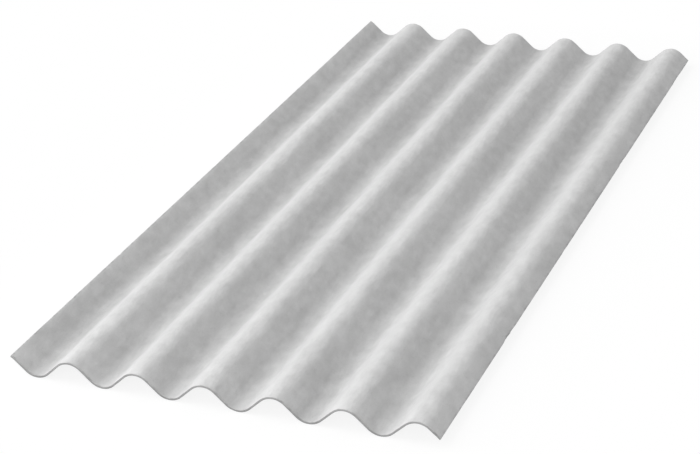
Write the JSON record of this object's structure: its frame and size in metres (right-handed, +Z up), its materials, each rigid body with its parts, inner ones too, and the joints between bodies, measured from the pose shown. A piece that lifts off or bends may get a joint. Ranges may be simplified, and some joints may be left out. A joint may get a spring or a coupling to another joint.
{
  "type": "corrugated fibre cement sheet",
  "caption": "Long roofing sheet of fibre cement with rounded corrugations running along it, to be lapped over its neighbours.",
  "frame": {"origin": "below the middle of the sheet, on the plane that its troughs rest on", "axes": "+Y along the corrugations, +X across them, towards the edge that ends low, +Z up"},
  "size_m": [1.1, 2.44, 0.056],
  "materials": {
    "fibre_cement": "dry, matt and slightly cloudy pale grey cement surface with fine fibres"
  },
  "bodies": {
    "root": {"corrugated_sheet": "fibre_cement"}
  },
  "joints": []
}
